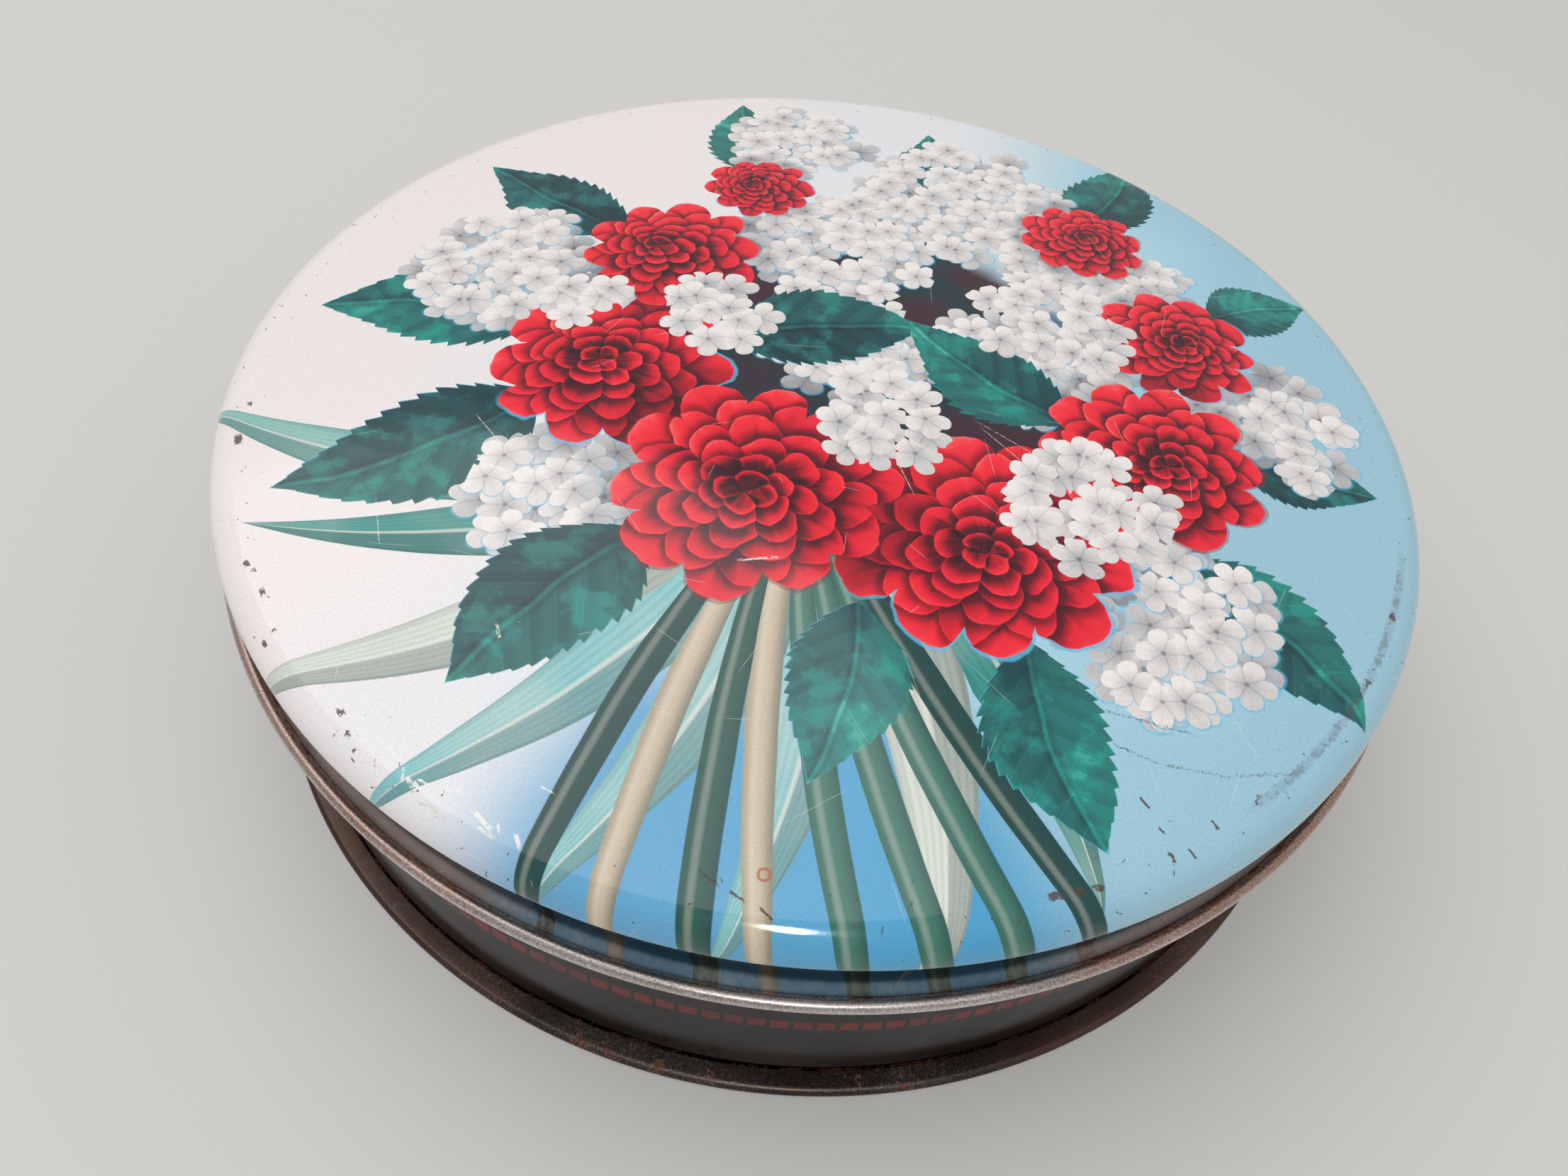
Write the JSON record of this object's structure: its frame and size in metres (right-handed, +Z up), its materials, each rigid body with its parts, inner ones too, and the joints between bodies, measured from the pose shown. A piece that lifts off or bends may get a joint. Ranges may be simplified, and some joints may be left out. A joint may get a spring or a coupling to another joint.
{
  "type": "candy tin",
  "caption": "Shallow round slip-lid sweet tin: drawn domed lid with a curled edge, rolled body wall and hemmed bottom end.",
  "frame": {"origin": "on the tin's axis, at the surface it stands on", "axes": "+Z up along the tin's axis; the body's side seam is at +Y"},
  "size_m": [0.15, 0.15, 0.0421],
  "materials": {
    "printed_tin": "printed and varnished tinplate, glossy, worn at the curled edge",
    "dark_enamel": "glossy near-black enamel over tinplate",
    "bare_tin": "bare tinplate, dulled, with rust freckles at the foot rim"
  },
  "bodies": {
    "tin_body": {"body_wall": "dark_enamel", "bottom_end": "bare_tin"},
    "lid": {"lid": "printed_tin"}
  },
  "joints": [
    {"name": "lid_lift", "type": "slide", "parent": "tin_body", "child": "lid", "axis": [0, 0, 1], "range_m": [0, 0.06]}
  ]
}
